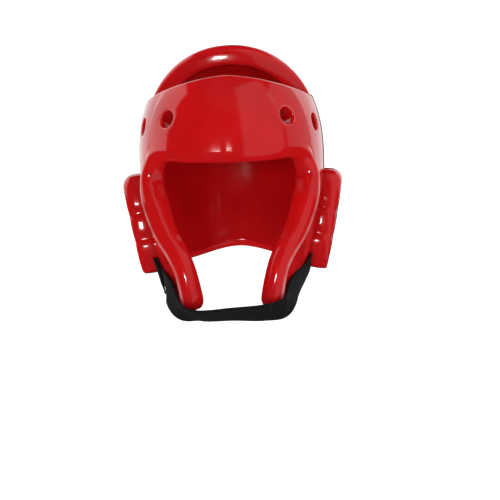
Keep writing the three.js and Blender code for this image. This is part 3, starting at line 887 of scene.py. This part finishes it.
def strap_frames(form, foam, strap, shares, lift):
    """Places, outward faces and sideways directions of the strap at shares of its way."""
    side, front, _ = section_reach(form, np.array((-foam.tip_drop,)))
    wide, long = side[0] + foam.side, front[0] + foam.brow
    places, faces = [], []
    for stop in STRAP_STOPS:
        if "place" in stop:
            across, forward, down = stop["place"]
            face = unit(np.array(stop["face"]))
            place = np.array((across * wide, -forward * long, -down * foam.tip_drop))
            places.append(place + face * lift)
        else:
            direction = direction_at_height(form, stop["azimuth"], -stop["drop"] * foam.tip_drop)
            point = surface_along(form, direction)
            face = surface_normals(form, point)[0]
            out = panel_depth(foam, direction)[0] + strap.clearance + strap.thickness / 2 + lift
            places.append(point[0] + face * out)
        faces.append(face)
    path = centripetal(places, shares)
    facing = centripetal(faces, shares)
    tangents = unit(np.gradient(path, axis=0))
    facing = unit(facing - tangents * np.sum(facing * tangents, axis=1, keepdims=True))
    return path, facing, np.cross(facing, tangents)


def band_mesh(form, foam, strap, width, thickness, shares, lift):
    """A flat band with rounded edges along shares of the strap, with a UV map in metres along and across."""
    path, facing, sideways = strap_frames(form, foam, strap, shares, lift)
    along = np.concatenate(((0.0,), np.cumsum(np.linalg.norm(np.diff(path, axis=0), axis=1))))
    half, deep = width / 2, thickness / 2
    flat_points, edge_points, digits = 12, 7, 6
    flat = np.linspace(-half + deep, half - deep, flat_points)
    turn = np.linspace(-math.pi / 2, math.pi / 2, edge_points)[1:-1]
    outline = [(x, -deep) for x in flat]
    outline += [(half - deep + deep * math.cos(a), deep * math.sin(a)) for a in turn]
    outline += [(x, deep) for x in flat[::-1]]
    outline += [(-half + deep - deep * math.cos(a), -deep * math.sin(a)) for a in turn]
    outline = np.array(outline)
    places = (
        path[:, None, :]
        + sideways[:, None, :] * outline[None, :, :1]
        + facing[:, None, :] * outline[None, :, 1:]
    )
    bm = mapped_tube(places)
    close_ends(bm)

    def key(place):
        return tuple(round(float(c), digits) for c in place)

    flat_places = {}
    for j in range(len(places)):
        for i in range(len(outline)):
            flat_places[key(places[j, i])] = (along[j], outline[i, 0])
    layer = bm.loops.layers.uv.new("band")
    for face in bm.faces:
        for loop in face.loops:
            loop[layer].uv = flat_places.get(key(loop.vert.co), (0.0, 0.0))
    return bm


# Materials


class Paint:
    """A new material, with short ways to add nodes and to link them."""

    def __init__(self, name):
        self.material = bpy.data.materials.new(name)
        self.material.use_nodes = True
        self.tree = self.material.node_tree

    def fill(self, node, inputs):
        """Sets a node's inputs to values, and links those that are given an output."""
        for key, value in inputs.items():
            if isinstance(value, bpy.types.NodeSocket):
                self.tree.links.new(value, node.inputs[key])
            else:
                node.inputs[key].default_value = value

    def node(self, kind, inputs=None, **settings):
        """A node with its settings and inputs."""
        node = self.tree.nodes.new(kind)
        for key, value in settings.items():
            setattr(node, key, value)
        self.fill(node, inputs or {})
        return node

    def noise(self, place, scale, detail, roughness=0.5):
        """The factor of a noise texture."""
        inputs = {"Vector": place, "Scale": scale, "Detail": detail, "Roughness": roughness}
        return self.node("ShaderNodeTexNoise", inputs).outputs["Fac"]

    def ramp(self, source, low, high, low_colour, high_colour):
        """A colour between two colours, by where source lies from low to high."""
        node = self.node("ShaderNodeValToRGB", {"Fac": source})
        first, last = node.color_ramp.elements
        first.position, last.position = low, high
        first.color, last.color = (*low_colour, 1), (*high_colour, 1)
        return node.outputs["Color"]

    def map_range(self, source, low, high, new_low, new_high):
        """A value that runs from new_low to new_high while source runs from low to high."""
        inputs = {"Value": source, "From Min": low, "From Max": high, "To Min": new_low, "To Max": new_high}
        return self.node("ShaderNodeMapRange", inputs).outputs["Result"]

    def bump(self, height, distance, strength, base=None):
        """A bumped normal, over a base normal where one is given."""
        inputs = {"Height": height, "Distance": distance, "Strength": strength}
        if base is not None:
            inputs["Normal"] = base
        return self.node("ShaderNodeBump", inputs).outputs["Normal"]

    def finished(self, inputs):
        """The material, with its shader's inputs filled."""
        self.fill(self.tree.nodes["Principled BSDF"], inputs)
        return self.material


def vinyl_material(red):
    """Glossy vinyl dipped over foam: a faintly mottled red with slow waves and fine orange peel, and a
    painted highlight, a pale pink line along marked edges, standing in for their reflection."""
    paint = Paint("Red dipped vinyl")
    place = paint.node("ShaderNodeTexCoord").outputs["Object"]
    deep = tuple(c * 0.86 for c in red)
    mottle = paint.noise(place, scale=22, detail=3)
    patchy = paint.noise(place, scale=90, detail=2)
    wear = paint.noise(place, scale=60, detail=4, roughness=0.6)
    slow = paint.bump(paint.noise(place, scale=30, detail=1.5), distance=0.0011, strength=0.2)
    peel = paint.bump(paint.noise(place, scale=520, detail=2), distance=0.0002, strength=0.12, base=slow)
    # Painted highlight: marked edges turn pale pink, standing in for their reflection of the pale studio
    highlighted_red = paint.node(
        "ShaderNodeMix",
        {
            "Factor": paint.node("ShaderNodeAttribute", attribute_name="edge_highlight_paint").outputs["Fac"],
            "A": paint.ramp(mottle, 0.35, 0.68, deep, tuple(red)),
            "B": paint.ramp(patchy, 0.3, 0.7, (0.62, 0.1, 0.1), (0.75, 0.3, 0.28)),
        },
        data_type="RGBA",
    )
    return paint.finished(
        {
            "Base Color": highlighted_red.outputs["Result"],
            "Roughness": paint.map_range(wear, 0.3, 0.75, 0.11, 0.18),
            "Normal": peel,
            "Specular IOR Level": 0.5,
            "Coat Normal": slow,
            "Coat Weight": 0.55,
            "Coat Roughness": 0.035,
            "Coat IOR": 1.5,
        }
    )


def webbing_material(black):
    """Matte elastic webbing: ribs across, threads along, a soft sheen."""
    paint = Paint("Black webbing")
    place = paint.node("ShaderNodeUVMap", uv_map="band").outputs["UV"]
    # A wave texture of scale 1 repeats every tenth of pi
    wave_length, rib_pitch, thread_pitch = math.pi / 10, 0.0031583, 0.0021713
    ribs = paint.node(
        "ShaderNodeTexWave",
        {"Vector": place, "Scale": wave_length / rib_pitch, "Distortion": 0.4},
        wave_type="BANDS",
        bands_direction="X",
    )
    threads = paint.node(
        "ShaderNodeTexWave",
        {"Vector": place, "Scale": wave_length / thread_pitch},
        wave_type="BANDS",
        bands_direction="Y",
    )
    weave = paint.node(
        "ShaderNodeMath", {0: ribs.outputs["Fac"], 1: threads.outputs["Fac"]}, operation="MULTIPLY"
    )
    fuzz = paint.noise(place, scale=260, detail=3)
    light = tuple(c * 1.7 + 0.002 for c in black)
    return paint.finished(
        {
            "Base Color": paint.ramp(fuzz, 0.35, 0.75, tuple(black), light),
            "Normal": paint.bump(weave.outputs["Value"], distance=0.0004, strength=0.35),
            "Roughness": 0.85,
            "Specular IOR Level": 0.12,
            "Sheen Weight": 0.02,
            "Sheen Roughness": 0.45,
        }
    )


def hook_material(black):
    """Hook-and-loop tape: a dense pile with small pale flecks scattered at random."""
    paint = Paint("Hook and loop")
    place = paint.node("ShaderNodeUVMap", uv_map="band").outputs["UV"]
    # Small pale flecks at random over the pile
    pale_flecks = paint.noise(place, scale=420, detail=2, roughness=0.7)
    pale = (0.12, 0.115, 0.11)
    pile = paint.node("ShaderNodeTexVoronoi", {"Vector": place, "Scale": 900}, feature="F1")
    return paint.finished(
        {
            "Base Color": paint.ramp(pale_flecks, 0.66, 0.76, tuple(black), pale),
            "Normal": paint.bump(pile.outputs["Distance"], distance=0.0008, strength=0.8),
            "Roughness": 0.95,
        }
    )


def shared_material(name, make, tint):
    """The material of that name, made with its tint the first time."""
    return bpy.data.materials.get(name) or make(tint)


def dipped_vinyl(foam):
    """The red vinyl that the guards and the pads share."""
    return shared_material("Red dipped vinyl", vinyl_material, foam.skin)


# Lights


def area_light(name, width, height, radiance):
    """A rectangular light of one radiance."""
    data = bpy.data.lights.new(name, "AREA")
    data.shape = "RECTANGLE"
    data.size, data.size_y = width, height
    data.energy = radiance * math.pi * width * height
    return linked_object(name, data)


# Operators


class HEADGEAR_OT_front_guard(bpy.types.Operator):
    """Builds the brow band, cheek guards and side walls"""

    bl_idname = "headgear.front_guard"
    bl_label = "Front Guard"

    def execute(self, context):
        scene = context.scene
        form, foam, pad = scene.headgear_form, scene.headgear_foam, scene.headgear_pad
        bm = front_guard_mesh(form, foam)
        close_ends(bm)
        for azimuth, drop in VENTS:
            for side in (-1, 1):
                direction = direction_at_height(form, side * azimuth, -drop * form.height)
                point = surface_along(form, direction)
                axis = Vector(surface_normals(form, point)[0])
                centre = Vector(point[0]) + axis * foam.brow / 2
                punch_hole(bm, centre, axis, foam.vent_radius, foam.vent_rounding)
        holes, out = sound_holes(pad)
        for place in holes:
            centre = wall_behind(form, foam, place, out)
            punch_hole(bm, centre, out, pad.sound_radius, pad.wall_rounding)
            punch_hole(bm, MIRROR @ centre, MIRROR @ out, pad.sound_radius, pad.wall_rounding)
        material = dipped_vinyl(foam)
        piece = finished_piece("front_guard_skin", bm, ("front_guard",), material)
        return {"FINISHED"}


class HEADGEAR_OT_crown_guard(bpy.types.Operator):
    """Builds the foam over the top and the back of the head"""

    bl_idname = "headgear.crown_guard"
    bl_label = "Crown Guard"

    def execute(self, context):
        foam = context.scene.headgear_foam
        bm = crown_guard_mesh(context.scene.headgear_form, foam)
        close_ends(bm)
        material = dipped_vinyl(foam)
        piece = finished_piece("crown_guard_skin", bm, ("crown_guard",), material)
        return {"FINISHED"}


class HEADGEAR_OT_ear_pads(bpy.types.Operator):
    """Builds the two lobed ear pads"""

    bl_idname = "headgear.ear_pads"
    bl_label = "Ear Pads"

    def execute(self, context):
        pad = context.scene.headgear_pad
        material = dipped_vinyl(context.scene.headgear_foam)
        for name, side in (("ear_pad_left", 1), ("ear_pad_right", -1)):
            bm = ear_pad_mesh(pad)
            holes, out = sound_holes(pad)
            for place in holes:
                punch_hole(bm, place - out * pad.depth / 2, out, pad.sound_radius, pad.sound_rounding)
            if side < 0:
                bmesh.ops.transform(bm, matrix=MIRROR, verts=bm.verts)
                bmesh.ops.recalc_face_normals(bm, faces=bm.faces)
            piece = finished_piece(name + "_skin", bm, (name,), material)
        return {"FINISHED"}


class HEADGEAR_OT_chin_strap(bpy.types.Operator):
    """Builds the chin strap and its hook-and-loop tab"""

    bl_idname = "headgear.chin_strap"
    bl_label = "Chin Strap"

    def execute(self, context):
        scene = context.scene
        form, foam, strap = scene.headgear_form, scene.headgear_foam, scene.headgear_strap
        webbing = shared_material("Black webbing", webbing_material, strap.webbing)
        strap_steps, tab_steps = 220, 60
        whole = np.linspace(0.0, 1.0, strap_steps + 1)
        bm = band_mesh(form, foam, strap, strap.width, strap.thickness, whole, 0.0)
        finished_piece("chin_strap_webbing", bm, ("chin_strap",), webbing)
        pile = shared_material("Hook and loop", hook_material, strap.webbing)
        lift = (strap.thickness + strap.tab_thickness) / 2 + strap.clearance
        folded = np.linspace(strap.tab_start, strap.tab_end, tab_steps + 1)
        bm = band_mesh(form, foam, strap, strap.tab_width, strap.tab_thickness, folded, lift)
        finished_piece("strap_tab_pile", bm, ("strap_tab",), pile)
        return {"FINISHED"}


class HEADGEAR_OT_stage(bpy.types.Operator):
    """Sets up the camera, the paper sweep and the studio lights"""

    bl_idname = "headgear.stage"
    bl_label = "Studio"

    def execute(self, context):
        stage = context.scene.headgear_stage
        self.add_camera(context, stage)
        self.add_paper(stage)
        self.add_lights(context, stage)
        return {"FINISHED"}

    def add_camera(self, context, stage):
        """The camera in front of the head, a little to its left and rolled."""
        turn = math.radians(stage.azimuth)
        back = Vector((math.sin(turn), -math.cos(turn), 0))
        right = Vector((math.cos(turn), math.sin(turn), 0))
        facing = Matrix((right, Vector((0, 0, 1)), back)).transposed()
        facing = facing @ Matrix.Rotation(math.radians(-stage.roll), 3, "Z")
        data = bpy.data.cameras.new("Camera")
        data.sensor_width = 36
        data.lens = data.sensor_width * stage.distance / stage.scale / PICTURE_WIDTH
        data.clip_end = 50
        camera = linked_object("Camera", data)
        camera.location = (
            Vector((0, 0, -stage.focus)) + facing @ Vector((stage.aside, 0, 0)) + back * stage.distance
        )
        camera.rotation_euler = facing.to_euler()
        context.scene.camera = camera

    def add_paper(self, stage):
        """A sheet of pale paper: flat under the headgear, then curved up behind it."""
        bm = bmesh.new()
        bmesh.ops.create_grid(bm, x_segments=2, y_segments=60, size=0.5)
        bend, depth, height, wide, front = 1.2, 2.6, 4.5, 12.0, 4.0
        flat = depth + front
        arc = bend * math.pi / 2
        total = flat + arc + height
        for vert in bm.verts:
            run = (vert.co.y + 0.5) * total
            if run < flat:
                y, z = run - front, 0.0
            elif run < flat + arc:
                turn = (run - flat) / bend
                y, z = depth + bend * math.sin(turn), bend * (1 - math.cos(turn))
            else:
                y, z = depth + bend, bend + run - flat - arc
            vert.co = (vert.co.x * wide, y, z - stage.floor_drop)
        matte = {"Base Color": (*stage.paper, 1), "Roughness": 0.9, "Specular IOR Level": 0.1}
        paper = smooth_object("paper_sweep", bm, Paint("Studio paper").finished(matte))
        paper.visible_glossy = False

    def add_lights(self, context, stage):
        """One small front lamp, large soft panels round the head, two lights for the paper and dim air."""
        brow_height = 0.06
        middle = Vector((0, 0, -stage.focus + brow_height))
        # name, azimuth and elevation in degrees, distance, width, height, radiance, seen in reflections
        lights = (
            ("Front lamp", -9, 0, 2.3, 0.32, 0.17, 48.0, True),
            ("Right front panel", 42, 6, 2.2, 2.5, 9.0, 0.32, True),
            ("Left panel", -105, 27, 2.4, 1.9, 2.6, 0.9, True),
            ("Left back panel", -147, 24, 2.4, 1.8, 2.6, 1.0, True),
            ("Right panel", 102, 27, 2.4, 2.2, 2.6, 0.4, True),
            ("Right back panel", 147, 24, 2.4, 1.8, 2.6, 1.0, True),
            ("Top fill", 10, 62, 2.2, 1.8, 1.8, 1.3, False),
        )
        for name, azimuth, elevation, distance, width, height, radiance, seen in lights:
            turn, climb = math.radians(azimuth), math.radians(elevation)
            level_reach = math.cos(climb)
            away = Vector((math.sin(turn) * level_reach, -math.cos(turn) * level_reach, math.sin(climb)))
            lamp = area_light(name, width, height, radiance)
            lamp.location = middle + away * distance
            lamp.rotation_euler = away.to_track_quat("Z", "Y").to_euler()
            lamp.visible_glossy = seen
        width, height, radiance = 2.4, 1.6, 5.0
        across, behind, up = 2.2, 1.3, 0.9
        for side in (-1, 1):
            lamp = area_light("Paper light", width, height, radiance)
            lamp.location = (side * across, behind, up)
            away = Vector((side * 0.5, -1.0, 0.35))
            lamp.rotation_euler = away.to_track_quat("Z", "Y").to_euler()
            lamp.visible_glossy = False
        world = bpy.data.worlds.new("Studio air")
        world.use_nodes = True
        air = world.node_tree.nodes["Background"]
        air.inputs["Color"].default_value = (0.97, 0.98, 1.0, 1)
        air.inputs["Strength"].default_value = 0.5
        world.cycles_visibility.glossy = False
        context.scene.world = world
        context.scene.view_settings.view_transform = "Standard"
        context.scene.view_settings.look = "None"


STEPS = (
    HEADGEAR_OT_stage,
    HEADGEAR_OT_front_guard,
    HEADGEAR_OT_crown_guard,
    HEADGEAR_OT_ear_pads,
    HEADGEAR_OT_chin_strap,
)
SIZES = (
    (HeadForm, "headgear_form"),
    (FoamSizes, "headgear_foam"),
    (PadSizes, "headgear_pad"),
    (StrapSizes, "headgear_strap"),
    (StageSizes, "headgear_stage"),
)


class HEADGEAR_PT_panel(bpy.types.Panel):
    """Lists the headgear's steps and sizes"""

    bl_label = "Foam Headgear"
    bl_idname = "HEADGEAR_PT_panel"
    bl_space_type = "VIEW_3D"
    bl_region_type = "UI"
    bl_category = "Headgear"

    def draw(self, context):
        for step in STEPS:
            self.layout.operator(step.bl_idname)
        for kind, name in SIZES:
            box = self.layout.box()
            for key in kind.__annotations__:
                box.prop(getattr(context.scene, name), key)


def register():
    for kind, name in SIZES:
        bpy.utils.register_class(kind)
        setattr(bpy.types.Scene, name, PointerProperty(type=kind))
    for step in STEPS:
        bpy.utils.register_class(step)
    bpy.utils.register_class(HEADGEAR_PT_panel)


def unregister():
    bpy.utils.unregister_class(HEADGEAR_PT_panel)
    for step in reversed(STEPS):
        bpy.utils.unregister_class(step)
    for kind, name in reversed(SIZES):
        delattr(bpy.types.Scene, name)
        bpy.utils.unregister_class(kind)


def main():
    """Builds the whole scene."""
    register()
    bpy.ops.headgear.stage()
    bpy.ops.headgear.front_guard()
    bpy.ops.headgear.crown_guard()
    bpy.ops.headgear.ear_pads()
    bpy.ops.headgear.chin_strap()


if __name__ == "__main__":
    main()
